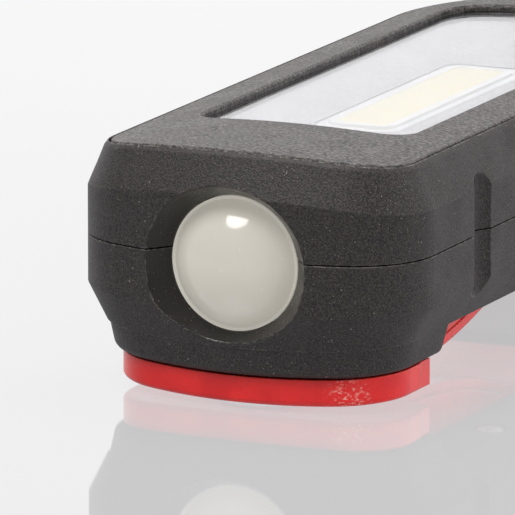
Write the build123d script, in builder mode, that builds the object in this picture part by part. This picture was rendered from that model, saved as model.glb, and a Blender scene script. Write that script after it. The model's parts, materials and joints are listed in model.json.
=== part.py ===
from build123d import *
import math
import os

# Handheld rechargeable work light: COB area lamp on the face, dome torch in the nose, and a stand with a
# magnet in its foot that folds out of the underside.

os.makedirs("parts", exist_ok=True)

# Frame: millimetres. The origin is the centre of the magnet's face, on the surface that the lamp lies on.
# +Z is up through the lit face, the nose with the torch points to -Y, the handle to +Y, and X is across.
# Distances called "from nose" are measured along Y from the nose tip.

# Driving dimensions of the head
nose_tip = -15.0  # y of the foremost point of the housing
head_length = 132.0
head_half_width = 26.7
nose_bow = 60.0  # plan radius of the bowed nose
nose_corner = 12.5  # plan radius between the nose and the sides
tail_corner = 16.0
face_top = 38.05  # z of the crowned face on the centre line
face_crown = 150.0
underside = 9.35  # z of the head's underside on the centre line
underside_crown = 320.0
wall = 2.2
parting = 22.95  # z of the joint between the two shells in the head
handle_parting = 18.0
seam_gap = 0.22

# Chamfers round the head: how far each runs down the wall, and how far in
upper_chamfer = (6.0, 2.67)
lower_chamfer = (5.3, 2.7)
rim_bevel = (0.25, 0.65)  # second chamfer at the rim: across the top, and down the first one

# Flutes down the sides of the head
flute_from_nose = (32.1, 116.0)
flute_radius = 4.0
flute_centre = head_half_width + 2.6  # x of a flute's axis
flute_ends = (14.4, 29.6)  # z of the centres of its ball ends

# Face plate and window
bezel_inset = 3.4
bezel_thickness = 1.0
bezel_groove = 0.45
rim_drop = 0.1  # the housing's rim stands this much below the face plate
window_half_width = 16.9
window_from_nose = (24.9, 120.7)
window_bow = 1.6  # how far the window's near edge bows forwards
opening_margin = 0.1  # the shell's opening stands this far outside the window
lens_margin = 2.0
lens_thickness = 1.8
gasket_thickness = 0.5
ledge_thickness = 2.1

# Torch in the nose
torch_height = 21.25
torch_radius = 9.85
torch_flange_from_nose = 4.75
torch_flange_thickness = 1.25
torch_dome_height = 5.1
torch_collar = 4.4  # wall of the housing round the torch

# Plinth under the nose and the stand's foot below it
plinth_from_nose = (2.7, 26.3)
plinth_half_width = 24.0
plinth_bottom = 5.05
plinth_taper = 12.0
plinth_round = 1.5
foot_half_width = 22.3
foot_from_nose = (4.8, 24.2)
foot_top = plinth_bottom - 0.3
foot_bottom = 0.75
foot_round = 0.8
magnet_radius = 6.5
magnet_thickness = 3.2

# Stand arm, folded into a channel in the underside
arm_half_width = 15.5
arm_front_from_nose = 27.0
arm_top = 12.45
arm_bottom = foot_bottom + 1.1
arm_curve_from_nose = 30.0
arm_curve_radius = 110.0
arm_curve_angle = math.radians(19.0)
hinge_from_nose = 95.0
hinge_height = 12.55
knuckle_radius = 3.2
hinge_pin_radius = 1.5
channel_half_width = arm_half_width + 0.5
channel_roof = arm_top + 0.45
channel_rear_from_nose = 103.5

# Handle
length = 236.0
handle_start_from_nose = 112.0
handle_half_width = 20.0
handle_waist = 18.6
handle_top = 33.0
handle_crown = 75.0
handle_corner = 12.0
handle_lower_round = 6.0
handle_upper_round = 8.0
rib_from_nose = range(162, 214, 8)  # grooves in the sides, for grip
rib_groove = (2.6, 2.4, 15.0)
rib_height = 16.0

# Hook, folded into the underside of the handle
hook_half_width = 8.0
hook_pivot_from_nose = 227.0
hook_pivot_height = 4.6
hook_knuckle_radius = 3.4
hook_pin_radius = 1.3
hook_reach = 58.0
hook_plate = (1.2, 5.2)  # z of the plate's lower and upper faces
hook_pocket_roof = 6.4
hook_pocket_half_width = 9.0

# Battery, boards and controls
battery_radius = 9.2
battery_length = 65.0
battery_from_nose = 156.0
battery_height = 17.8
board_thickness = 1.6
control_board_height = 23.0
button_from_nose = 142.0
button_radius = 6.5
running_clearance = 0.05


def at(from_nose):
    """The y of a distance measured from the nose tip."""
    return nose_tip + from_nose


def across(y):
    """A sketch plane facing forwards at y, with X across and Z up."""
    return Plane.XZ.offset(-y)


def finish(piece, name):
    """Label a finished piece and write it to its own file."""
    piece.part.label = name
    export_step(piece.part, f"parts/{name}.step")


def sag(radius, half_chord):
    """How far an arc falls away from its crown over half a chord."""
    return radius - math.sqrt(radius**2 - half_chord**2)


def plan(half_width, front, rear, inset=0.0, corner=nose_corner, rear_corner=tail_corner, rear_bow=nose_bow):
    """Closed plan outline with a bowed nose, straight sides and a bowed tail, drawn on the XY plane."""
    w = half_width - inset
    y0 = front + inset
    y1 = rear - inset
    front_corner_y = y0 + sag(nose_bow - inset, w)
    rear_corner_y = y1 - sag(rear_bow, w)
    with BuildSketch(mode=Mode.PRIVATE) as outline:
        with BuildLine():
            ThreePointArc((-w, front_corner_y), (0, y0), (w, front_corner_y))
            Line((w, front_corner_y), (w, rear_corner_y))
            ThreePointArc((w, rear_corner_y), (0, y1), (-w, rear_corner_y))
            Line((-w, rear_corner_y), (-w, front_corner_y))
        make_face()
        fillet(outline.vertices().group_by(Axis.Y)[0], max(corner - inset, 1.0))
        if rear_corner > 0:
            fillet(outline.vertices().group_by(Axis.Y)[-1], max(rear_corner - inset, 1.0))
    return outline.sketch


def slab(top, bottom, top_radius=face_crown, belly_radius=None):
    """A long slab for cutting plan shapes to height: its upper face is crowned along Y, and its lower face
    is parallel to it, or bulges downwards when a belly radius is given."""
    half = 34.0
    top_edge = top - sag(top_radius, half)
    if belly_radius is None:
        bottom_edge = bottom - sag(top_radius, half)
    else:
        bottom_edge = bottom + sag(belly_radius, half)
    with BuildPart(mode=Mode.PRIVATE) as crowned:
        with BuildSketch(across(at(-10))):
            with BuildLine():
                ThreePointArc((-half, top_edge), (0, top), (half, top_edge))
                Line((half, top_edge), (half, bottom_edge))
                ThreePointArc((half, bottom_edge), (0, bottom), (-half, bottom_edge))
                Line((-half, bottom_edge), (-half, top_edge))
            make_face()
        extrude(amount=-(length + 30))
    return crowned.part


def crowned_plate(outline, top, bottom, belly_radius=None):
    """A plate with the given plan outline, cut to height by a crowned slab."""
    with BuildPart(mode=Mode.PRIVATE) as plate:
        with BuildSketch(Plane.XY.offset(bottom - 5)):
            add(outline)
        extrude(amount=top - bottom + 10)
        add(slab(top, bottom, belly_radius=belly_radius), mode=Mode.INTERSECT)
    return plate.part


def box_between(low, high):
    """A box given by its lowest and highest corners."""
    with BuildPart(Location(low), mode=Mode.PRIVATE) as block:
        Box(high[0] - low[0], high[1] - low[1], high[2] - low[2], align=(Align.MIN, Align.MIN, Align.MIN))
    return block.part


def handle_form(inset=0.0):
    """The handle's rounded bar, or the hollow inside it when inset by the wall."""
    y0 = at(handle_start_from_nose) + inset
    y1 = at(length) - inset
    neck = handle_half_width - inset
    waist = handle_waist - inset
    end_corner_y = y1 - 6.0
    with BuildPart(mode=Mode.PRIVATE) as bar:
        with BuildSketch(Plane.XY.offset(inset)) as outline:
            with BuildLine():
                Line((-neck, y0), (neck, y0))
                ThreePointArc((neck, y0), (waist, (y0 + end_corner_y) / 2), (neck, end_corner_y))
                ThreePointArc((neck, end_corner_y), (0, y1), (-neck, end_corner_y))
                ThreePointArc((-neck, end_corner_y), (-waist, (y0 + end_corner_y) / 2), (-neck, y0))
            make_face()
            fillet(outline.vertices().group_by(Axis.Y)[-1], handle_corner - inset)
        extrude(amount=handle_top - inset)
        add(slab(handle_top - inset, -20, top_radius=handle_crown, belly_radius=5000.0), mode=Mode.INTERSECT)
        lower_edges = bar.faces().sort_by(Axis.Z)[0].edges()
        upper_edges = bar.faces().sort_by(Axis.Z)[-1].edges()
        fillet(lower_edges.filter_by(lambda e: e.center().Y > y0 + 1), handle_lower_round - inset)
        fillet(upper_edges.filter_by(lambda e: e.center().Y > y0 + 1), handle_upper_round - inset)
        # ramp from the head's underside down to the handle's belly
        with BuildSketch(Plane.YZ):
            Polygon(
                (y0 - 1, -1),
                (y0 + 20, -1),
                (y0 + 20, inset),
                (y0, underside + inset + 0.6),
                (y0 - 1, underside + inset + 0.6),
                align=None,
            )
        extrude(amount=40, both=True, mode=Mode.SUBTRACT)
    return bar.part


def torch_bore(start, end, radius):
    """A round bar on the torch's axis between two distances from the nose tip."""
    with BuildPart(mode=Mode.PRIVATE) as bar:
        with BuildSketch(across(at(start))):
            with Locations((0, torch_height)):
                Circle(radius)
        extrude(amount=-(end - start))
    return bar.part


def torch_cone():
    """The flared recess in front of the torch lens: oval at the nose, round where it meets the lens."""
    with BuildPart(mode=Mode.PRIVATE) as cone:
        with BuildSketch(across(at(-2))):
            with Locations((0, torch_height)):
                Ellipse(15.0, 13.3)
        with BuildSketch(across(at(torch_flange_from_nose))):
            with Locations((0, torch_height)):
                Circle(torch_radius + 0.15)
        loft()
    return cone.part


def posts(points, radius, bottom, top):
    """Round posts, or holes, standing at the given plan points."""
    with BuildPart(mode=Mode.PRIVATE) as group:
        with BuildSketch(Plane.XY.offset(bottom)):
            with Locations(*points):
                Circle(radius)
        extrude(amount=top - bottom)
    return group.part


def bar_across(y, z, radius, half_length):
    """A round bar along X, centred on the middle plane."""
    with BuildPart(mode=Mode.PRIVATE) as bar:
        with BuildSketch(Plane.YZ):
            with Locations((y, z)):
                Circle(radius)
        extrude(amount=half_length, both=True)
    return bar.part


def prism_across(points, half_width):
    """A profile of (y, z) points extruded along X, the same distance to each side."""
    with BuildPart(mode=Mode.PRIVATE) as prism:
        with BuildSketch(Plane.YZ):
            Polygon(*points, align=None)
        extrude(amount=half_width, both=True)
    return prism.part


# Plan points that several pieces share
shell_screws_from_nose = ((19.0, 18.0), (21.0, 48.0), (21.0, 108.0), (12.6, 222.0))  # x and distance
shell_screw_points = [(side * x, at(y)) for side in (-1, 1) for x, y in shell_screws_from_nose]
sink_screw_points = [(side * 19.0, at(y)) for side in (-1, 1) for y in (60.0, 96.0)]
screw_seat = 12.05  # z of the seats under the shell screws' heads
screw_tip = 28.15
screw_head = (2.3, 1.8)  # radius and height
screw_radius = 1.2
hinge = (at(hinge_from_nose), hinge_height)
cover_hinge = (at(length - 1.3), 15.9)
cover_pin_radius = 0.45
board_post_points = [(side * 11.0, at(146.5)) for side in (-1, 1)]
hook_pivot = (at(hook_pivot_from_nose), hook_pivot_height)
button_point = [(0, at(button_from_nose))]
charge_light_points = [(x, at(151.5)) for x in (-6.0, -2.0, 2.0, 6.0)]
flute_points = [(side * flute_centre, at(y)) for side in (-1, 1) for y in flute_from_nose]
rib_centre = handle_half_width + 0.2
rib_points = [(side * rib_centre, at(y), rib_height) for side in (-1, 1) for y in rib_from_nose]

# Layers under the face, from the crown of the face plate down
lens_top = face_top - bezel_thickness
lens_bottom = lens_top - lens_thickness
ledge_top = lens_bottom - gasket_thickness
roof = ledge_top - ledge_thickness
cavity_floor = underside + wall
sink_top = face_top - 7.7

bezel_outline = plan(head_half_width, at(0), at(head_length), inset=bezel_inset)
groove_outline = plan(head_half_width, at(0), at(head_length), inset=bezel_inset - bezel_groove)


def window_plan(margin):
    """The window's plan outline, grown by a margin."""
    w = window_half_width + margin
    near = at(window_from_nose[0]) - margin
    far = at(window_from_nose[1]) + margin
    near_side = near + window_bow
    with BuildSketch(mode=Mode.PRIVATE) as outline:
        with BuildLine():
            ThreePointArc((-w, near_side), (0, near), (w, near_side))
            Line((w, near_side), (w, far))
            Line((w, far), (-w, far))
            Line((-w, far), (-w, near_side))
        make_face()
        fillet(outline.vertices(), 5.0 + margin)
    return outline.sketch


# Outer form of the whole housing, before it is split into two shells
head_outline = plan(head_half_width, at(0), at(head_length))
plinth_front, plinth_rear = [at(y) for y in plinth_from_nose]
plinth_outline = plan(
    plinth_half_width, plinth_front, plinth_rear, corner=11.5, rear_corner=0, rear_bow=2000.0
)
# plinth: the part of a tapered block that lies above its crowned lower face
with BuildPart() as plinth:
    with BuildSketch(Plane.XY.offset(underside + 0.9)):
        add(plinth_outline)
    extrude(amount=-(underside + 0.9 - plinth_bottom), taper=plinth_taper)
    add(slab(underside + 20, plinth_bottom, belly_radius=underside_crown), mode=Mode.INTERSECT)
    fillet(plinth.faces().sort_by(Axis.Z)[0].edges().sort_by(Axis.Y)[:-1], plinth_round)

with BuildPart() as housing:
    add(crowned_plate(head_outline, face_top - rim_drop, underside, belly_radius=underside_crown))
    top_face = housing.faces().sort_by(Axis.Z)[-1]
    chamfer(top_face.edges(), length=upper_chamfer[1], length2=upper_chamfer[0], reference=top_face)
    top_face = housing.faces().sort_by(Axis.Z)[-1]
    chamfer(top_face.edges(), length=rim_bevel[0], length2=rim_bevel[1], reference=top_face)
    bottom_face = housing.faces().sort_by(Axis.Z)[0]
    chamfer(bottom_face.edges(), length=lower_chamfer[1], length2=lower_chamfer[0], reference=bottom_face)
    # flutes with ball ends
    add(posts(flute_points, flute_radius, *flute_ends), mode=Mode.SUBTRACT)
    with Locations(*[(x, y, z) for x, y in flute_points for z in flute_ends]):
        Sphere(flute_radius, mode=Mode.SUBTRACT)
    add(handle_form())
    add(plinth.part)
    with Locations(*rib_points):
        Box(*rib_groove, mode=Mode.SUBTRACT)

# Hollow inside the housing
cavity_outline = plan(head_half_width, at(0), at(head_length), inset=wall)
channel_wall_rear = at(channel_rear_from_nose + 2)
pocket_wall = hook_pocket_half_width + 5.0
with BuildPart() as hollow:
    add(crowned_plate(cavity_outline, roof, cavity_floor, belly_radius=underside_crown))
    cavity_face = hollow.faces().sort_by(Axis.Z)[0]
    chamfer(cavity_face.edges(), length=lower_chamfer[1], length2=lower_chamfer[0], reference=cavity_face)
    add(box_between((-16.4, at(head_length - 14), 12.0), (16.4, at(head_length + 10), 30.0)))
    add(handle_form(inset=wall))
    # thick collar round the torch
    add(torch_bore(-2, 9.0, torch_radius + torch_collar), mode=Mode.SUBTRACT)
    # walls round the stand's channel, the hinge pin and the hook's pocket
    for low, high in (
        ((-18.2, at(20), 0), (18.2, channel_wall_rear, channel_roof + wall)),
        ((-22.5, at(hinge_from_nose - 5), 0), (22.5, channel_wall_rear, hinge_height + 6.0)),
        ((-pocket_wall, at(162), 0), (pocket_wall, at(240), hook_pocket_roof + 1.7)),
        ((-pocket_wall, at(222), 0), (pocket_wall, at(240), hook_pivot_height + 6.5)),
    ):
        add(box_between(low, high), mode=Mode.SUBTRACT)
    # thick wall behind the charging port's cover
    add(box_between((-9.5, at(length - 4.4), 13.0), (9.5, at(length), 17.9)), mode=Mode.SUBTRACT)

# Everything above the joint between the shells
with BuildPart() as upper_region:
    add(
        prism_across(
            (
                (at(-20), parting),
                (at(126), parting),
                (at(146), handle_parting),
                (at(260), handle_parting),
                (at(260), 60),
                (at(-20), 60),
            ),
            60,
        )
    )

# Spaces that the moving parts fold into
with BuildPart() as channel:
    add(
        box_between(
            (-channel_half_width, at(plinth_from_nose[1] - 0.2), -1),
            (channel_half_width, at(channel_rear_from_nose), channel_roof),
        )
    )
    add(bar_across(*hinge, knuckle_radius + 0.5, channel_half_width))
    add(bar_across(*hinge, hinge_pin_radius, channel_half_width + 4.5))

with BuildPart() as hook_pocket:
    add(
        box_between(
            (-hook_pocket_half_width, at(hook_pivot_from_nose - hook_reach - 2.5), -1),
            (hook_pocket_half_width, at(hook_pivot_from_nose), hook_pocket_roof),
        )
    )
    add(
        box_between(
            (-hook_pocket_half_width, at(hook_pivot_from_nose - 5), -1),
            (hook_pocket_half_width, at(length + 2), hook_pivot_height + 4.4),
        )
    )
    add(bar_across(*hook_pivot, hook_pin_radius, hook_pocket_half_width + 3.5))

battery_shift = Location((0, 0, battery_height - torch_height))
boss_radius = 3.2
battery_room = torch_bore(150, 225, battery_radius + 0.1).moved(battery_shift)
screw_bores = posts(shell_screw_points, screw_radius + 0.06, 0, screw_tip + 0.4)
head_bores = posts(shell_screw_points, screw_head[0] + 0.25, -1, screw_seat)
usb_slot = box_between((-5.0, at(length - 12), 18.9), (5.0, at(length + 2), 23.1))
with BuildPart() as usb_recess:
    add(box_between((-6.4, at(length - 1.6), 13.8), (6.4, at(length + 3), 25.0)))
    add(bar_across(*cover_hinge, 1.1, 6.4))
    add(bar_across(*cover_hinge, cover_pin_radius, 7.4))

# Inside the lower shell: screw bosses, cradle under the battery, and posts under the two boards
with BuildPart() as lower_bosses:
    add(posts(shell_screw_points, boss_radius, underside + 1.5, parting + 2))
    for y in (at(172.0), at(204.0)):
        add(box_between((-15.0, y - 1.0, hook_pocket_roof + 1), (15.0, y + 1.0, 12.5)))
    add(battery_room, mode=Mode.SUBTRACT)
    add(housing.part, mode=Mode.INTERSECT)
    add(upper_region.part, mode=Mode.SUBTRACT)
    add(posts([(side * 11.0, at(102.0)) for side in (-1, 1)], 2.4, hinge_height + 5.0, control_board_height))
    add(posts([(side * 5.5, at(y)) for side in (-1, 1) for y in (224.5, 230.0)], 1.8, 10.0, 18.0))

# Inside the upper shell: screw bosses, and posts for the heat sink and the control board
with BuildPart() as upper_bosses:
    add(posts(shell_screw_points, boss_radius, parting - 6, roof + 1))
    add(posts(sink_screw_points, 2.6, sink_top, roof + 1))
    add(posts(board_post_points, 2.6, control_board_height + board_thickness, handle_top - 1))
    add(housing.part, mode=Mode.INTERSECT)
    add(upper_region.part, mode=Mode.INTERSECT)

# Lower shell: the back half of the housing, with the plinth, the channel and the belly
with BuildPart() as lower_shell:
    add(housing.part)
    add(hollow.part, mode=Mode.SUBTRACT)
    add(upper_region.part.moved(Location((0, 0, -seam_gap))), mode=Mode.SUBTRACT)
    add(lower_bosses.part)
    add(channel.part, mode=Mode.SUBTRACT)
    add(hook_pocket.part, mode=Mode.SUBTRACT)
    add(torch_cone(), mode=Mode.SUBTRACT)
    add(torch_bore(4, 12, torch_radius + 0.15), mode=Mode.SUBTRACT)
    add(screw_bores, mode=Mode.SUBTRACT)
    add(head_bores, mode=Mode.SUBTRACT)
    add(usb_recess.part, mode=Mode.SUBTRACT)
finish(lower_shell, "lower_shell")

# Upper shell: the lit half of the housing, stepped for the face plate, the lens and its gasket
with BuildPart() as upper_shell:
    add(housing.part)
    add(hollow.part, mode=Mode.SUBTRACT)
    add(upper_region.part, mode=Mode.INTERSECT)
    add(upper_bosses.part)
    add(crowned_plate(groove_outline, face_top + 5, lens_top), mode=Mode.SUBTRACT)
    add(crowned_plate(window_plan(lens_margin + 0.15), face_top + 5, ledge_top), mode=Mode.SUBTRACT)
    add(crowned_plate(window_plan(opening_margin), face_top + 5, roof - 5), mode=Mode.SUBTRACT)
    add(torch_cone(), mode=Mode.SUBTRACT)
    add(torch_bore(4, 12, torch_radius + 0.15), mode=Mode.SUBTRACT)
    add(screw_bores, mode=Mode.SUBTRACT)
    add(posts(sink_screw_points, screw_radius + 0.06, 20, sink_top + 2.2), mode=Mode.SUBTRACT)
    add(posts(board_post_points, screw_radius + 0.06, 20, 29.0), mode=Mode.SUBTRACT)
    add(usb_slot, mode=Mode.SUBTRACT)
    add(usb_recess.part, mode=Mode.SUBTRACT)
    # hole and shallow seat for the power button, holes for the charge lights
    add(posts(button_point, button_radius + 0.15, 25, 40), mode=Mode.SUBTRACT)
    add(posts(button_point, button_radius + 2.0, handle_top - 0.8, 40), mode=Mode.SUBTRACT)
    add(posts(charge_light_points, 1.0, 25, 40), mode=Mode.SUBTRACT)
finish(upper_shell, "upper_shell")


# Face plate, with softened outer edge and a bevelled window
with BuildPart() as face_bezel:
    add(crowned_plate(bezel_outline, face_top, lens_top))
    add(crowned_plate(window_plan(0), face_top + 5, lens_top - 5), mode=Mode.SUBTRACT)
    bezel_top = face_bezel.faces().sort_by(Axis.Z)[-1]
    fillet(bezel_top.outer_wire().edges(), 0.4)
    bezel_top = face_bezel.faces().sort_by(Axis.Z)[-1]
    chamfer(bezel_top.inner_wires()[0].edges(), 0.35)
finish(face_bezel, "face_bezel")

# Clear window: a crowned plate with a thicker middle that fills the opening in the shell
lens_pad = 0.5
with BuildPart() as window_lens:
    add(crowned_plate(window_plan(lens_margin), lens_top, lens_bottom))
    add(crowned_plate(window_plan(-opening_margin), lens_bottom + 0.2, lens_bottom - lens_pad))
finish(window_lens, "window_lens")

with BuildPart() as lens_gasket:
    add(crowned_plate(window_plan(lens_margin - 0.1), lens_bottom, ledge_top))
    add(crowned_plate(window_plan(opening_margin), lens_bottom + 5, ledge_top - 5), mode=Mode.SUBTRACT)
finish(lens_gasket, "lens_gasket")

# COB light: phosphor strip inside a white dam on an aluminium board
cob_y = at(70.0)
cob_board_size = (14.0, 58.0, 1.2)
cob_strip = (8.2, 44.2, 0.4)
cob_dam_width = 1.3
cob_dam_size = (cob_strip[0] + 2 * cob_dam_width, cob_strip[1] + 2 * cob_dam_width, 0.45)
cob_face = sink_top + cob_board_size[2]


def rounded_block(size, corner, z, y=cob_y):
    """A flat block with rounded plan corners, standing on z and centred on the middle plane."""
    with BuildPart(mode=Mode.PRIVATE) as block:
        with BuildSketch(Plane((0, y, z))):
            RectangleRounded(size[0], size[1], corner)
        extrude(amount=size[2])
    return block.part


with BuildPart() as cob_board:
    add(rounded_block(cob_board_size, 1.5, sink_top))
finish(cob_board, "cob_board")

with BuildPart() as cob_dam:
    add(rounded_block(cob_dam_size, 2.4, cob_face))
    add(rounded_block((cob_strip[0], cob_strip[1], 5), 1.2, cob_face - 1), mode=Mode.SUBTRACT)
finish(cob_dam, "cob_dam")

with BuildPart() as cob_phosphor:
    add(rounded_block(cob_strip, 1.2, cob_face))
finish(cob_phosphor, "cob_phosphor")

# White reflector tray: slopes from the window's edge down to the COB
tray_top = lens_bottom - lens_pad - 0.1
tray_margin = 0.6  # from the window's edge to the tray
tray_inset = tray_margin + 0.6  # from the window's edge to the top of the tray's slopes
tray_mouth = (
    2 * (window_half_width - tray_inset),
    window_from_nose[1] - window_from_nose[0] - 2 * tray_inset - window_bow,
)
window_middle = at(sum(window_from_nose) / 2)
board_width, board_length = cob_board_size[:2]
with BuildPart() as reflector_tray:
    with BuildSketch(Plane.XY.offset(sink_top)):
        add(window_plan(-tray_margin))
    extrude(amount=8)
    add(slab(tray_top, sink_top), mode=Mode.INTERSECT)
    add(box_between((-40, at(0), sink_top - 5), (40, at(140), sink_top)), mode=Mode.SUBTRACT)
    add(rounded_block((board_width + 0.4, board_length + 0.4, 1.3), 1.6, sink_top), mode=Mode.SUBTRACT)
    with BuildSketch(Plane((0, cob_y, cob_face - 0.2))):
        RectangleRounded(cob_dam_size[0] + 0.6, cob_dam_size[1] + 0.6, 2.6)
    with BuildSketch(Plane((0, window_middle, tray_top + 0.1))):
        RectangleRounded(*tray_mouth, 4.6)
    loft(mode=Mode.SUBTRACT)
finish(reflector_tray, "reflector_tray")

# Heat sink: a plate with ears at its screws, and fins along the middle
sink_thickness = 2.2
sink_bottom = sink_top - sink_thickness
with BuildPart() as heat_sink:
    add(box_between((-16.6, at(28), sink_bottom), (16.6, at(118), sink_top)))
    add(posts(sink_screw_points, 3.2, sink_bottom, sink_top))
    with BuildSketch(Plane((0, at(62), sink_bottom))):
        with GridLocations(5.0, 0, 6, 1):
            Rectangle(1.2, 58)
    extrude(amount=-2.4)
    add(posts(sink_screw_points, screw_radius + 0.2, 20, 40), mode=Mode.SUBTRACT)
finish(heat_sink, "heat_sink")


def screws(points, head_bottom, tip):
    """Pan-head screws pointing up: a head with a cross recess, and a shank."""
    with BuildPart(mode=Mode.PRIVATE) as group:
        add(posts(points, screw_head[0], head_bottom, head_bottom + screw_head[1]))
        fillet(group.edges().group_by(Axis.Z)[0], 0.7)
        for width, depth in ((2.4, 0.6), (0.6, 2.4)):
            with BuildSketch(Plane.XY.offset(head_bottom)):
                with Locations(*points):
                    Rectangle(width, depth)
            extrude(amount=1.0, mode=Mode.SUBTRACT)
        add(posts(points, screw_radius, head_bottom + screw_head[1], tip))
        chamfer(group.edges().group_by(Axis.Z)[-1], 0.4)
    return group.part


with BuildPart() as shell_screws:
    add(screws(shell_screw_points, screw_seat - screw_head[1], screw_tip))
finish(shell_screws, "shell_screws")

with BuildPart() as sink_screws:
    add(screws(sink_screw_points, sink_bottom - screw_head[1], sink_top + 2.0))
finish(sink_screws, "sink_screws")

with BuildPart() as board_screws:
    add(screws(board_post_points, control_board_height - screw_head[1], 28.5))
finish(board_screws, "board_screws")

# Torch, from the dome back to the star board
torch_axis = Axis((0, 0, torch_height), (0, 1, 0))
flange_front = at(torch_flange_from_nose)
flange_back = flange_front + torch_flange_thickness
dome_radius = torch_radius - 0.4
dome_sphere = (dome_radius**2 + torch_dome_height**2) / (2 * torch_dome_height)
dome_apex = flange_front - torch_dome_height
half_angle = math.asin(dome_radius / dome_sphere) / 2


def turned(points):
    """A ring or cup turned about the torch's axis from (distance from nose, radius) points."""
    with BuildPart(mode=Mode.PRIVATE) as ring:
        with BuildSketch(Plane.YZ):
            Polygon(*[(at(d), torch_height + r) for d, r in points], align=None)
        revolve(axis=torch_axis)
    return ring.part


with BuildPart() as torch_lens:
    with BuildSketch(Plane.YZ):
        with BuildLine():
            Polyline(
                (dome_apex, torch_height),
                (flange_back, torch_height),
                (flange_back, torch_height + torch_radius),
                (flange_front, torch_height + torch_radius),
                (flange_front, torch_height + dome_radius),
            )
            ThreePointArc(
                (flange_front, torch_height + dome_radius),
                (
                    dome_apex + dome_sphere * (1 - math.cos(half_angle)),
                    torch_height + dome_sphere * math.sin(half_angle),
                ),
                (dome_apex, torch_height),
            )
        make_face()
    revolve(axis=torch_axis)
finish(torch_lens, "torch_lens")

with BuildPart() as torch_seal:
    add(turned(((6.02, 8.5), (6.02, 9.85), (7.0, 9.85), (7.0, 8.5))))
    fillet(torch_seal.edges(), 0.3)
finish(torch_seal, "torch_seal")

with BuildPart() as torch_holder:
    add(
        turned(
            (
                (7.05, 8.95),
                (7.05, 9.9),
                (9.0, 9.9),
                (9.4, 9.5),
                (19.8, 9.5),
                (19.8, 0),
                (18.3, 0),
                (18.3, 8.95),
            )
        )
    )
finish(torch_holder, "torch_holder")

with BuildPart() as torch_reflector:
    add(turned(((7.1, 8.4), (7.1, 8.9), (8.4, 8.9), (16.95, 4.2), (16.95, 2.9), (12.5, 5.6))))
finish(torch_reflector, "torch_reflector")

with BuildPart() as torch_star_board:
    add(turned(((17.0, 0), (17.0, 8.8), (18.25, 8.8), (18.25, 0))))
finish(torch_star_board, "torch_star_board")

with BuildPart() as torch_led:
    add(box_between((-1.75, at(16.2), torch_height - 1.75), (1.75, at(17.0), torch_height + 1.75)))
    with Locations((0, at(16.2), torch_height)):
        Sphere(1.3)
    add(box_between((-2, at(17.0), torch_height - 2), (2, at(19.0), torch_height + 2)), mode=Mode.SUBTRACT)
finish(torch_led, "torch_led")

# Battery with its end tabs
battery_end = battery_from_nose + battery_length
with BuildPart() as battery_cell:
    add(torch_bore(battery_from_nose, battery_end, battery_radius).moved(battery_shift))
    fillet(battery_cell.edges(), 0.6)
finish(battery_cell, "battery_cell")

with BuildPart() as battery_tabs:
    add(torch_bore(battery_from_nose - 0.9, battery_from_nose, 3.0).moved(battery_shift))
    add(torch_bore(battery_end, battery_end + 0.4, 6.5).moved(battery_shift))
finish(battery_tabs, "battery_tabs")

# Control board with its parts, switch and power button
board_top = control_board_height + board_thickness
with BuildPart() as control_board:
    add(box_between((-14.0, at(98), control_board_height), (14.0, at(153), board_top)))
    fillet(control_board.edges().filter_by(Axis.Z), 2.0)
    add(posts(board_post_points, screw_radius + 0.2, 20, 30), mode=Mode.SUBTRACT)
finish(control_board, "control_board")

board_part_boxes = (
    # x, distance from nose, size across, size along, height
    (-6.0, 106.0, 7.0, 7.0, 2.4),
    (5.0, 105.0, 5.0, 5.0, 0.9),
    (9.5, 116.0, 4.4, 6.0, 1.0),
    (-2.0, 117.0, 3.0, 2.0, 1.2),
    (-8.5, 121.0, 6.0, 4.6, 2.5),
    (3.0, 125.0, 4.0, 4.0, 0.9),
    (10.5, 129.0, 2.0, 3.2, 1.3),
    (-10.0, 131.0, 3.2, 1.6, 1.0),
)
with BuildPart() as board_parts:
    for x, from_nose, across_size, along_size, height in board_part_boxes:
        with Locations((x, at(from_nose), board_top)):
            Box(across_size, along_size, height, align=(Align.CENTER, Align.CENTER, Align.MIN))
    with Locations(*[(x, y, board_top) for x, y in charge_light_points]):
        Box(1.6, 1.6, 0.7, align=(Align.CENTER, Align.CENTER, Align.MIN))
finish(board_parts, "board_parts")

with BuildPart() as tact_switch:
    with Locations((0, at(button_from_nose), board_top)):
        Box(6.0, 6.0, 3.0, align=(Align.CENTER, Align.CENTER, Align.MIN))
    add(posts(button_point, 1.7, board_top + 3.0, board_top + 3.8))
finish(tact_switch, "tact_switch")

with BuildPart() as power_button:
    add(posts(button_point, button_radius, 30.4, 33.7))
    fillet(power_button.edges().group_by(Axis.Z)[-1], 1.0)
    add(posts(button_point, button_radius + 1.3, 29.5, 30.4))
finish(power_button, "power_button")

with BuildPart() as charge_lights:
    add(posts(charge_light_points, 0.95, board_top + 0.8, handle_top - 0.3))
finish(charge_lights, "charge_lights")

# Charging port: board, socket and hinged rubber cover
with BuildPart() as charge_board:
    add(box_between((-7.0, at(222), 18.0), (7.0, at(length - 4.5), 19.4)))
finish(charge_board, "charge_board")

socket_mouth = at(length - 1.8)
with BuildPart() as usb_socket:
    add(box_between((-4.5, socket_mouth - 7.3, 19.4), (4.5, socket_mouth, 22.7)))
    fillet(usb_socket.edges().filter_by(Axis.Y), 1.5)
    add(box_between((-4.1, socket_mouth - 6.3, 19.75), (4.1, socket_mouth + 1, 22.35)), mode=Mode.SUBTRACT)
    add(box_between((-3.3, socket_mouth - 6.8, 20.7), (3.3, socket_mouth - 0.9, 21.4)))
finish(usb_socket, "usb_socket")

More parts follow.
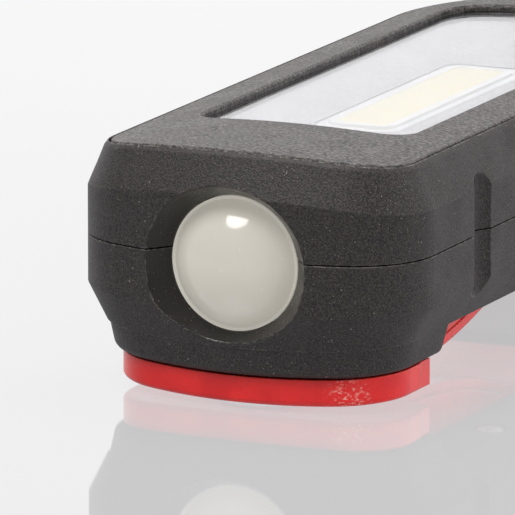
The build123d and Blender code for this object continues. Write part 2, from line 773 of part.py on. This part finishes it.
with BuildPart() as usb_cover:
    add(box_between((-6.1, at(length - 1.4), 15.9), (6.1, at(length), 24.7)))
    fillet(usb_cover.edges().filter_by(Axis.Y).group_by(Axis.Z)[-1], 2.2)
    fillet(usb_cover.faces().sort_by(Axis.Y)[-1].edges().group_by(Axis.Z)[-1], 0.5)
    add(bar_across(*cover_hinge, 0.8, 6.1))
    add(box_between((-3.7, at(length - 2.4), 20.1), (3.7, at(length - 1.3), 22.0)))
    add(bar_across(*cover_hinge, cover_pin_radius + running_clearance, 7), mode=Mode.SUBTRACT)
finish(usb_cover, "usb_cover")

with BuildPart() as usb_cover_pin:
    add(bar_across(*cover_hinge, cover_pin_radius, 7.4))
finish(usb_cover_pin, "usb_cover_pin")

# Stand: the foot follows the nose, and the arm tapers back to its hinge
foot_front, foot_rear = [at(y) for y in foot_from_nose]
foot_outline = plan(foot_half_width, foot_front, foot_rear, corner=10.5, rear_corner=0, rear_bow=2000.0)


def arm_curve(rise, angle):
    """A (y, z) point of the arm's curved underside, or of a line this much above it."""
    radius = arm_curve_radius - rise
    y = at(arm_curve_from_nose) + radius * math.sin(angle)
    return (y, arm_bottom + arm_curve_radius - radius * math.cos(angle))


def arm_profile():
    """Side view of the arm: flat at the foot, curving up to lie flush with the head, round its hinge."""
    flush = hinge_height - knuckle_radius + 0.02
    with BuildSketch(mode=Mode.PRIVATE) as profile:
        with BuildLine():
            Line((at(14), arm_bottom), arm_curve(0, 0))
            ThreePointArc(arm_curve(0, 0), arm_curve(0, arm_curve_angle / 2), arm_curve(0, arm_curve_angle))
            Polyline(
                arm_curve(0, arm_curve_angle),
                (at(74), flush),
                (hinge[0] + 0.5, flush),
                hinge,
                (hinge[0] - 1.0, arm_top),
                (at(arm_front_from_nose), arm_top),
                (at(arm_front_from_nose), foot_top),
                (at(14), foot_top),
                (at(14), arm_bottom),
            )
        make_face()
    return profile.sketch


def arm_groove():
    """A narrow band along the arm's side, parallel to its curved underside."""
    low, high = 1.3, 1.7
    start, middle, end = 0, arm_curve_angle / 2, arm_curve_angle
    with BuildSketch(mode=Mode.PRIVATE) as band:
        with BuildLine():
            ThreePointArc(arm_curve(low, start), arm_curve(low, middle), arm_curve(low, end))
            Line(arm_curve(low, end), arm_curve(high, end))
            ThreePointArc(arm_curve(high, end), arm_curve(high, middle), arm_curve(high, start))
            Line(arm_curve(high, start), arm_curve(low, start))
        make_face()
    return band.sketch


def arm_hollow(middle, half):
    """One of the long pockets in the upper side of the moulded arm."""
    front = at(29.5)
    rear = hinge[0] - 9
    with BuildPart(mode=Mode.PRIVATE) as pocket:
        with BuildSketch(Plane.YZ.offset(middle)):
            Polygon(
                (front, arm_bottom + 1.8),
                (at(38), arm_bottom + 1.9),
                (at(66), arm_bottom + 7.6),
                (at(73), arm_top - 1.45),
                (rear, arm_top - 1.45),
                (rear, arm_top + 1),
                (front, arm_top + 1),
                align=None,
            )
        extrude(amount=half, both=True)
    return pocket.part


with BuildPart() as stand:
    with BuildSketch(Plane.XY.offset(-1)):
        add(foot_outline)
    extrude(amount=7)
    add(slab(20, foot_bottom, belly_radius=underside_crown), mode=Mode.INTERSECT)
    fillet(stand.faces().sort_by(Axis.Z)[0].edges().sort_by(Axis.Y)[:-1], foot_round)
    add(slab(20, foot_top, belly_radius=underside_crown), mode=Mode.SUBTRACT)
    for side in (-1, 1):
        with Locations((side * foot_half_width, at(22.6), 2)):
            Box(0.6, 4.2, 10, mode=Mode.SUBTRACT)
    with BuildSketch(Plane.YZ):
        add(arm_profile())
    extrude(amount=arm_half_width, both=True)
    add(bar_across(*hinge, knuckle_radius, arm_half_width))
    # hollow of the moulded arm, with two ribs left standing
    for middle, half in ((-9.4, 3.6), (0.0, 4.2), (9.4, 3.6)):
        add(arm_hollow(middle, half), mode=Mode.SUBTRACT)
    for side in (-1, 1):
        with BuildSketch(Plane.YZ.offset(side * arm_half_width)):
            add(arm_groove())
        extrude(amount=0.3, both=True, mode=Mode.SUBTRACT)
    add(posts([(0, 0)], magnet_radius + 0.02, -1, magnet_thickness), mode=Mode.SUBTRACT)
    add(bar_across(*hinge, hinge_pin_radius + running_clearance, arm_half_width + 1), mode=Mode.SUBTRACT)
finish(stand, "stand")

with BuildPart() as stand_magnet:
    add(posts([(0, 0)], magnet_radius, 0, magnet_thickness))
    chamfer(stand_magnet.edges(), 0.3)
finish(stand_magnet, "stand_magnet")

with BuildPart() as stand_pin:
    add(bar_across(*hinge, hinge_pin_radius, channel_half_width + 4.4))
finish(stand_pin, "stand_pin")

# Hanging hook: a flat hook with a mouth on one side, on a knuckle at the handle's end
hook_tip = hook_pivot[0] - hook_reach
with BuildPart() as hanging_hook:
    with BuildSketch(Plane.XY.offset(hook_plate[0])) as hook_outline:
        with Locations((0, (hook_tip + hook_pivot[0]) / 2)):
            Rectangle(2 * hook_half_width, hook_reach)
        fillet(hook_outline.vertices().group_by(Axis.Y)[0], hook_half_width - 0.1)
        with Locations((0, hook_tip + 24.0)):
            RectangleRounded(8.4, 36.0, 4.1, mode=Mode.SUBTRACT)
        with Locations((hook_half_width, hook_tip + 33.0)):
            Rectangle(2 * hook_half_width - 8, 17.0, mode=Mode.SUBTRACT)
    extrude(amount=hook_plate[1] - hook_plate[0])
    fillet(hanging_hook.edges().group_by(Axis.Z)[0], 0.8)
    add(bar_across(*hook_pivot, hook_knuckle_radius, hook_half_width))
    hook_bore_radius = hook_pin_radius + running_clearance
    add(bar_across(*hook_pivot, hook_bore_radius, hook_half_width + 1), mode=Mode.SUBTRACT)
finish(hanging_hook, "hanging_hook")

with BuildPart() as hook_pin:
    add(bar_across(*hook_pivot, hook_pin_radius, hook_pocket_half_width + 3.4))
finish(hook_pin, "hook_pin")
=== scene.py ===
import json
import math

import bpy
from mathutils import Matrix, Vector


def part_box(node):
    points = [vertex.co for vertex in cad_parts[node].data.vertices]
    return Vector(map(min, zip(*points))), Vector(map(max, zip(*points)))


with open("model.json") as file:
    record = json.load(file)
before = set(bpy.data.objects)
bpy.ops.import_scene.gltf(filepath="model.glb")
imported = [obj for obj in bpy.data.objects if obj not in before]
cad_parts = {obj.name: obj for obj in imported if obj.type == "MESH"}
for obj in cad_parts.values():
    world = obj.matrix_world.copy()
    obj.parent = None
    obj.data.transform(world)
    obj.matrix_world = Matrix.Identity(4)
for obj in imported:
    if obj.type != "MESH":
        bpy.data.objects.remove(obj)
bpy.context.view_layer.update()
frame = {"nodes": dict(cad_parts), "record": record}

nodes = frame["nodes"]

MM = 0.001


class Material:
    """One procedural material: a Principled shader, with small helpers for the nodes that feed it."""

    def __init__(self, name, **uniform):
        self.material = bpy.data.materials.new(name)
        self.material.use_nodes = True
        self.tree = self.material.node_tree
        self.shader = self.tree.nodes["Principled BSDF"]
        self.place = self.tree.nodes.new("ShaderNodeTexCoord").outputs["Object"]
        for socket, value in uniform.items():
            self.shader.inputs[socket.replace("_", " ")].default_value = value

    def node(self, kind, inputs=None, **settings):
        """A node with its settings and its inputs, each a number, a colour or another node's output."""
        made = self.tree.nodes.new("ShaderNode" + kind)
        for key, value in settings.items():
            setattr(made, key, value)
        for key, value in (inputs or {}).items():
            if isinstance(value, bpy.types.NodeSocket):
                self.tree.links.new(value, made.inputs[key])
            else:
                made.inputs[key].default_value = value
        return made

    def link(self, output, socket):
        """Feed one of the shader's own sockets."""
        self.tree.links.new(output, self.shader.inputs[socket])

    def noise(self, size, detail=2.0, roughness=0.5, place=None):
        """Cloudy noise, from 0 to 1, whose blobs are about this size in metres."""
        inputs = {
            "Vector": place or self.place,
            "Scale": 1.0 / size,
            "Detail": detail,
            "Roughness": roughness,
        }
        return self.node("TexNoise", inputs).outputs["Fac"]

    def spots(self, cell, radius):
        """1 inside small scattered spots of this radius, one to a cell, and 0 between them."""
        inputs = {"Vector": self.place, "Scale": 1.0 / cell}
        distance = self.node("TexVoronoi", inputs).outputs["Distance"]
        return self.ramp(distance, radius / cell, 0.6 * radius / cell)

    def ramp(self, value, low, high, bottom=0.0, top=1.0):
        """Smoothly maps low..high of a value to bottom..top."""
        inputs = {"Value": value, "From Min": low, "From Max": high, "To Min": bottom, "To Max": top}
        return self.node("MapRange", inputs, interpolation_type="SMOOTHSTEP").outputs["Result"]

    def math(self, operation, first, second):
        """Arithmetic on two values."""
        return self.node("Math", {0: first, 1: second}, operation=operation).outputs["Value"]

    def mix(self, first, second, amount):
        """One colour at an amount of 0, the other at 1."""
        made = self.node("Mix", {"Factor": amount}, data_type="RGBA")
        for index, value in ((6, first), (7, second)):
            if isinstance(value, bpy.types.NodeSocket):
                self.tree.links.new(value, made.inputs[index])
            else:
                made.inputs[index].default_value = value
        return made.outputs[2]

    def soft_edges(self, radius):
        """The normal with its edges rounded to this radius, and a mask of where it was rounded."""
        rounded = self.node("Bevel", {"Radius": radius}, samples=6).outputs["Normal"]
        normal = self.node("NewGeometry").outputs["Normal"]
        dot = self.node("VectorMath", {0: rounded, 1: normal}, operation="DOT_PRODUCT").outputs["Value"]
        return rounded, self.ramp(dot, 0.995, 0.86)

    def bump(self, height, depth, normal=None):
        """A normal roughened by a height from 0 to 1, which stands for this depth in metres."""
        inputs = {"Height": height, "Distance": depth, "Strength": 1.0}
        if normal:
            inputs["Normal"] = normal
        return self.node("Bump", inputs).outputs["Normal"]


def rgb(red, green, blue):
    """An opaque colour, in linear light."""
    return (red, green, blue, 1.0)


def moulded(name, colour, pale, roughness, grain, depth, edge, dust=0.0, **uniform):
    """A moulded plastic or rubber: fine grain, slow changes of tone, soft worn edges, and dust."""
    m = Material(name, **uniform)
    fine = m.noise(grain, detail=3.0, roughness=0.65)
    cloudy = m.noise(9 * MM, detail=3.0)
    normal, edges = m.soft_edges(0.3 * MM)
    surface = m.mix(colour, pale, m.ramp(fine, 0.36, 0.7))
    surface = m.mix(surface, pale, m.ramp(cloudy, 0.5, 0.85, top=0.35))
    patchy = m.ramp(m.noise(0.7 * MM, detail=4.0), 0.42, 0.62)
    worn = m.math("MULTIPLY", m.math("MULTIPLY", edges, patchy), edge)
    surface = m.mix(surface, rgb(0.30, 0.29, 0.27), worn)
    if dust:
        specks = m.math("MULTIPLY", m.spots(0.62 * MM, 0.062 * MM), m.ramp(cloudy, 0.35, 0.75, top=dust))
        surface = m.mix(surface, rgb(0.62, 0.60, 0.56), specks)
    m.link(surface, "Base Color")
    m.link(m.math("ADD", m.ramp(cloudy, 0.3, 0.8, top=0.12), roughness - 0.05), "Roughness")
    m.link(m.bump(fine, depth, normal), "Normal")
    return m.material


def soft_touch_rubber():
    """The housing: grained soft-touch rubber, polished in the recess round the torch."""
    m = Material("soft_touch_rubber", IOR=1.48)
    fine = m.noise(0.25 * MM, detail=2.0, roughness=0.6)
    cloudy = m.noise(9 * MM, detail=3.0)
    normal, edges = m.soft_edges(0.35 * MM)
    polished = torch_recess(m)
    surface = m.mix(rgb(0.008, 0.0062, 0.0065), rgb(0.044, 0.0375, 0.0370), m.ramp(fine, 0.38, 0.64))
    surface = m.mix(surface, rgb(0.036, 0.033, 0.032), m.ramp(cloudy, 0.5, 0.85, top=0.35))
    surface = m.mix(surface, rgb(0.010, 0.0085, 0.0085), polished)
    patchy = m.ramp(m.noise(0.7 * MM, detail=4.0), 0.42, 0.62)
    worn = m.math("MULTIPLY", m.math("MULTIPLY", edges, patchy), 0.5)
    surface = m.mix(surface, rgb(0.32, 0.30, 0.27), worn)
    specks = m.math("MAXIMUM", m.spots(0.6 * MM, 0.072 * MM), m.spots(2.1 * MM, 0.13 * MM))
    specks = m.math("MULTIPLY", specks, m.ramp(cloudy, 0.30, 0.75, 0.10, 0.85))
    surface = m.mix(surface, rgb(0.42, 0.39, 0.36), specks)
    m.link(surface, "Base Color")
    matt = m.ramp(cloudy, 0.3, 0.8, 0.50, 0.62)
    gloss = m.ramp(m.noise(2.5 * MM, detail=3.0), 0.35, 0.75, 0.26, 0.42)
    m.link(m.node("Mix", {0: polished, 2: matt, 3: gloss}, data_type="FLOAT").outputs[0], "Roughness")
    grain = m.math("MULTIPLY", fine, m.ramp(polished, 0.0, 1.0, 1.0, 0.12))
    m.link(m.bump(grain, 0.085 * MM, normal), "Normal")
    return m.material


def torch_recess(m):
    """A mask of the flared recess: 1 inside its oval rim and near the nose, 0 elsewhere."""
    low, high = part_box("torch_lens")
    middle = (low + high) / 2
    rim = (12.75 * MM, 11.75 * MM)  # half width and half height of the rim
    centred = m.node("VectorMath", {0: m.place, 1: middle}, operation="SUBTRACT").outputs["Vector"]
    scale = (1 / rim[0], 0.0, 1 / rim[1])
    oval = m.node("VectorMath", {0: centred, 1: scale}, operation="MULTIPLY").outputs["Vector"]
    reach = m.node("VectorMath", {0: oval}, operation="LENGTH").outputs["Value"]
    depth = m.node("SeparateXYZ", {0: m.place}).outputs["Y"]
    near_nose = m.math("LESS_THAN", depth, high.y + 3 * MM)
    return m.math("MULTIPLY", m.ramp(reach, 1.0, 0.985), near_nose)


def spark_textured_plastic():
    """The face plate: coarser, deeper grain than the housing's."""
    return moulded(
        "spark_textured_plastic",
        rgb(0.005, 0.0040, 0.0042),
        rgb(0.138, 0.124, 0.121),
        roughness=0.46,
        grain=0.55 * MM,
        depth=0.30 * MM,
        edge=0.40,
        IOR=1.5,
    )


def glossy_red_plastic():
    """The stand: glossy, with painted highlights along its edges, and scuffed at the right end of its foot.
    """
    m = Material("glossy_red_plastic", IOR=1.5)
    cloudy = m.noise(6 * MM, detail=4.0)
    low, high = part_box("stand")
    scuff = (high.x - 6.5 * MM, low.y + 4.5 * MM, low.z + 2.0 * MM)
    distance = m.node("VectorMath", {0: m.place, 1: scuff}, operation="DISTANCE").outputs["Value"]
    scuffed = m.ramp(distance, 4.2 * MM, 2.2 * MM)
    stretched = m.node("Mapping", {"Vector": m.place, "Scale": (1.0, 1.0, 1.8)}).outputs["Vector"]
    streaks = m.ramp(m.noise(0.8 * MM, detail=6.0, roughness=0.75, place=stretched), 0.52, 0.60)
    marks = m.math("MULTIPLY", scuffed, streaks)
    normal, edges = m.soft_edges(0.35 * MM)
    surface = m.mix(rgb(0.64, 0.006, 0.008), rgb(0.80, 0.014, 0.014), m.ramp(cloudy, 0.3, 0.7))
    # painted highlight: the rounded edges are mixed towards a light orange, standing in for the sheen along
    # them
    surface = m.mix(surface, rgb(0.88, 0.17, 0.12), m.math("MULTIPLY", edges, 0.45))
    surface = m.mix(surface, rgb(0.90, 0.42, 0.36), m.math("MULTIPLY", marks, 0.8))
    m.link(surface, "Base Color")
    m.link(m.math("ADD", m.math("MULTIPLY", marks, 0.3), m.ramp(cloudy, 0.3, 0.8, 0.20, 0.34)), "Roughness")
    m.link(m.bump(m.math("ADD", marks, m.noise(0.35 * MM)), 0.006 * MM, normal), "Normal")
    return m.material


def clear_plastic(name, colour, roughness=0.0, clearness=1.0, frosting=0.0, **uniform):
    """Clear moulded plastic, hazier as its clearness falls, with a few fine specks in it."""
    m = Material(name, IOR=1.49, Transmission_Weight=clearness, **uniform)
    cloudy = m.noise(5 * MM, detail=3.0)
    specks = m.math("MULTIPLY", m.spots(1.6 * MM, 0.07 * MM), 0.5)
    m.link(m.mix(colour, rgb(0.70, 0.69, 0.66), specks), "Base Color")
    m.link(m.math("ADD", m.ramp(cloudy, 0.4, 0.8, top=0.02), m.math("ADD", specks, roughness)), "Roughness")
    if frosting:
        m.link(m.bump(m.noise(0.3 * MM), frosting), "Normal")
    return m.material


def satin(name, colour, pale, roughness):
    """A smooth satin surface with a faint grain and slow changes of tone."""
    m = Material(name)
    cloudy = m.noise(7 * MM, detail=3.0)
    fine = m.noise(0.4 * MM, detail=3.0)
    normal, _ = m.soft_edges(0.15 * MM)
    m.link(m.mix(colour, pale, m.ramp(cloudy, 0.35, 0.75)), "Base Color")
    m.link(m.ramp(fine, 0.3, 0.8, roughness - 0.05, roughness + 0.07), "Roughness")
    m.link(m.bump(fine, 0.004 * MM, normal), "Normal")
    return m.material


def phosphor():
    """Phosphor gel over rows of chips, which show faintly as darker spots."""
    m = Material(
        "phosphor_gel",
        IOR=1.41,
        Subsurface_Weight=0.15,
        Subsurface_Radius=(0.0012, 0.0010, 0.0005),
        Subsurface_Scale=1.0,
    )
    cloudy = m.noise(4 * MM, detail=4.0)
    chips = m.node("TexVoronoi", {"Vector": m.place, "Scale": 1 / (1.9 * MM), "Randomness": 0.0})
    chip = m.ramp(chips.outputs["Distance"], 0.26, 0.18, top=0.14)
    surface = m.mix(rgb(1.0, 0.87, 0.52), rgb(1.0, 0.92, 0.64), m.ramp(cloudy, 0.3, 0.7))
    m.link(m.mix(surface, rgb(0.90, 0.76, 0.36), chip), "Base Color")
    m.link(m.ramp(cloudy, 0.3, 0.8, 0.30, 0.42), "Roughness")
    m.link(m.bump(cloudy, 0.05 * MM), "Normal")
    return m.material


def metal(name, colour, dull, roughness, grain_axis=(1.0, 1.0, 1.0)):
    """Bare or plated metal with drawn-out grain, small scratches and duller patches."""
    m = Material(name, Metallic=1.0)
    along = m.node("Mapping", {"Vector": m.place, "Scale": grain_axis}).outputs["Vector"]
    lines = m.noise(0.25 * MM, detail=5.0, roughness=0.7, place=along)
    patches = m.ramp(m.noise(3 * MM, detail=4.0), 0.45, 0.75)
    normal, edges = m.soft_edges(0.12 * MM)
    surface = m.mix(colour, dull, patches)
    m.link(m.mix(surface, rgb(0.85, 0.85, 0.84), m.math("MULTIPLY", edges, 0.5)), "Base Color")
    rough = m.math("ADD", m.ramp(lines, 0.3, 0.8, top=0.16), roughness)
    m.link(m.math("ADD", rough, m.math("MULTIPLY", patches, 0.08)), "Roughness")
    m.link(m.bump(lines, 0.004 * MM, normal), "Normal")
    return m.material


def circuit_board():
    """Green solder mask with faint copper tracks under it."""
    m = Material("circuit_board", IOR=1.5, Coat_Weight=0.4, Coat_Roughness=0.15)
    tracks = m.node("TexBrick", {"Vector": m.place, "Scale": 1 / (4.5 * MM), "Mortar Size": 0.06})
    fine = m.noise(0.3 * MM)
    m.link(m.mix(rgb(0.008, 0.13, 0.05), rgb(0.03, 0.24, 0.09), tracks.outputs["Fac"]), "Base Color")
    m.link(m.ramp(fine, 0.3, 0.8, 0.28, 0.42), "Roughness")
    m.link(m.bump(tracks.outputs["Fac"], 0.03 * MM), "Normal")
    return m.material


# One material for each material slot of the record
materials = {
    "housing": soft_touch_rubber(),
    "face_plate": spark_textured_plastic(),
    "clear_lens": clear_plastic("clear_window", rgb(0.96, 0.965, 0.985)),
    "seal_rubber": satin("seal_rubber", rgb(0.012, 0.012, 0.012), rgb(0.03, 0.03, 0.03), 0.6),
    "white_reflector": satin("white_reflector", rgb(0.46, 0.455, 0.48), rgb(0.54, 0.535, 0.55), 0.30),
    "white_board": satin("white_board", rgb(0.82, 0.83, 0.83), rgb(0.88, 0.88, 0.87), 0.40),
    "white_dam": satin("white_dam", rgb(0.88, 0.88, 0.87), rgb(0.93, 0.93, 0.92), 0.42),
    "phosphor": phosphor(),
    "aluminium": metal(
        "milled_aluminium", rgb(0.72, 0.73, 0.75), rgb(0.6, 0.61, 0.63), 0.28, grain_axis=(0.1, 1.0, 1.0)
    ),
    "zinc_screw": metal("zinc_plate", rgb(0.60, 0.61, 0.63), rgb(0.45, 0.45, 0.44), 0.30),
    # milky, with a painted glow that stands in for the light that the dome gathers
    "torch_glass": clear_plastic(
        "torch_glass",
        rgb(0.46, 0.44, 0.40),
        roughness=0.13,
        clearness=0.35,
        Emission_Color=rgb(1.0, 0.96, 0.86),
        Emission_Strength=0.22,
    ),
    "black_plastic": moulded(
        "black_plastic",
        rgb(0.012, 0.012, 0.012),
        rgb(0.03, 0.03, 0.03),
        roughness=0.36,
        grain=0.3 * MM,
        depth=0.008 * MM,
        edge=0.12,
    ),
    "bright_reflector": satin("bright_reflector", rgb(0.82, 0.80, 0.75), rgb(0.88, 0.86, 0.81), 0.32),
    "battery_wrap": satin("battery_wrap", rgb(0.02, 0.10, 0.32), rgb(0.03, 0.14, 0.40), 0.22),
    "nickel": metal("nickel_plate", rgb(0.72, 0.70, 0.66), rgb(0.58, 0.56, 0.52), 0.22),
    "circuit_board": circuit_board(),
    "chip_plastic": satin("chip_plastic", rgb(0.015, 0.015, 0.016), rgb(0.03, 0.03, 0.03), 0.48),
    "button_rubber": moulded(
        "button_rubber",
        rgb(0.022, 0.022, 0.023),
        rgb(0.045, 0.044, 0.044),
        roughness=0.48,
        grain=0.3 * MM,
        depth=0.010 * MM,
        edge=0.2,
        dust=0.3,
    ),
    "light_guide": clear_plastic("light_guide", rgb(0.92, 0.95, 0.92), roughness=0.35, frosting=0.02 * MM),
    "steel_pin": metal("steel_pin", rgb(0.62, 0.62, 0.64), rgb(0.48, 0.48, 0.49), 0.22),
    "red_plastic": glossy_red_plastic(),
    "magnet_nickel": metal("magnet_nickel", rgb(0.66, 0.66, 0.68), rgb(0.50, 0.50, 0.51), 0.16),
}

slot_of = {part["node"]: part["material_slot"] for part in frame["record"]["subparts"]}
for name, piece in nodes.items():
    piece.data.materials.clear()
    piece.data.materials.append(materials[slot_of[name]])


def make_floor():
    """A glossy sheet of white acrylic, lit from below, just under the object."""
    m = Material("white_acrylic", IOR=1.49, Emission_Color=rgb(0.985, 0.985, 1.0), Emission_Strength=0.51)
    cloudy = m.noise(60 * MM, detail=3.0)
    m.link(m.mix(rgb(0.055, 0.055, 0.056), rgb(0.060, 0.060, 0.060), m.ramp(cloudy, 0.3, 0.7)), "Base Color")
    m.link(m.ramp(cloudy, 0.3, 0.8, 0.035, 0.06), "Roughness")
    bpy.ops.mesh.primitive_plane_add(size=12.0, location=(0, 0, -0.02 * MM))
    floor = bpy.context.object
    floor.name = "floor"
    floor.data.materials.append(m.material)


def make_world():
    """A white surround, dimmer on the side that the nose faces."""
    world = bpy.data.worlds.new("studio")
    bpy.context.scene.world = world
    world.use_nodes = True
    tree = world.node_tree
    direction = tree.nodes.new("ShaderNodeTexCoord").outputs["Generated"]
    split = tree.nodes.new("ShaderNodeSeparateXYZ")
    tree.links.new(direction, split.inputs[0])
    shade = tree.nodes.new("ShaderNodeMapRange")
    shade.interpolation_type = "SMOOTHSTEP"
    tree.links.new(split.outputs["Y"], shade.inputs["Value"])
    shade.inputs["From Min"].default_value = -0.7
    shade.inputs["From Max"].default_value = 0.6
    shade.inputs["To Min"].default_value = 0.16
    shade.inputs["To Max"].default_value = 1.05
    tree.links.new(shade.outputs["Result"], tree.nodes["Background"].inputs["Strength"])
    tree.nodes["Background"].inputs["Color"].default_value = rgb(0.99, 0.985, 0.99)


def soft_box(name, place, target, size, power, colour=(1.0, 1.0, 1.0), mirrored=False):
    """A round area light at a place, turned to a target, which glossy surfaces may mirror."""
    light = bpy.data.lights.new(name, "AREA")
    light.shape = "DISK"
    light.size = size
    light.energy = power
    light.color = colour
    lamp = bpy.data.objects.new(name, light)
    lamp.location = place
    lamp.visible_glossy = mirrored
    lamp.rotation_euler = (Vector(target) - Vector(place)).to_track_quat("-Z", "Y").to_euler()
    bpy.context.scene.collection.objects.link(lamp)


def make_camera():
    """The camera looks down on the nose from its right, from far away."""
    azimuth = math.radians(24.92)
    elevation = math.radians(12.41)
    distance = 1.408
    picture_width = 73.57 * MM  # across the picture, at the target
    target = Vector((2.84, -8.59, 22.04)) * MM
    forward = Vector(
        (
            -math.sin(azimuth) * math.cos(elevation),
            math.cos(azimuth) * math.cos(elevation),
            -math.sin(elevation),
        )
    )
    camera = bpy.data.objects.new("camera", bpy.data.cameras.new("camera"))
    camera.location = target - distance * forward
    camera.rotation_euler = forward.to_track_quat("-Z", "Y").to_euler()
    camera.data.angle = 2 * math.atan(picture_width / 2 / distance)
    camera.data.clip_start = 0.05
    bpy.context.scene.collection.objects.link(camera)
    bpy.context.scene.camera = camera


make_floor()
make_world()
head = (0.0, 0.02, 0.03)  # the point that the lights are turned to
soft_box("front_overhead", (-0.19, -0.50, 1.03), head, 0.6, 11.5, (1.0, 0.985, 0.96), mirrored=True)
soft_box("rear_overhead", (0.15, 0.60, 1.0), head, 0.9, 7.0)
soft_box("right_side", (1.2, 0.1, 0.45), head, 0.6, 4.5, (1.0, 0.98, 0.97))
soft_box("front_right", (0.75, -0.85, 0.25), head, 0.6, 1.8, (1.0, 0.98, 0.96))
soft_box("left_side", (-1.1, -0.2, 0.6), head, 0.5, 0.8)
make_camera()
bpy.context.scene.view_settings.view_transform = "Standard"
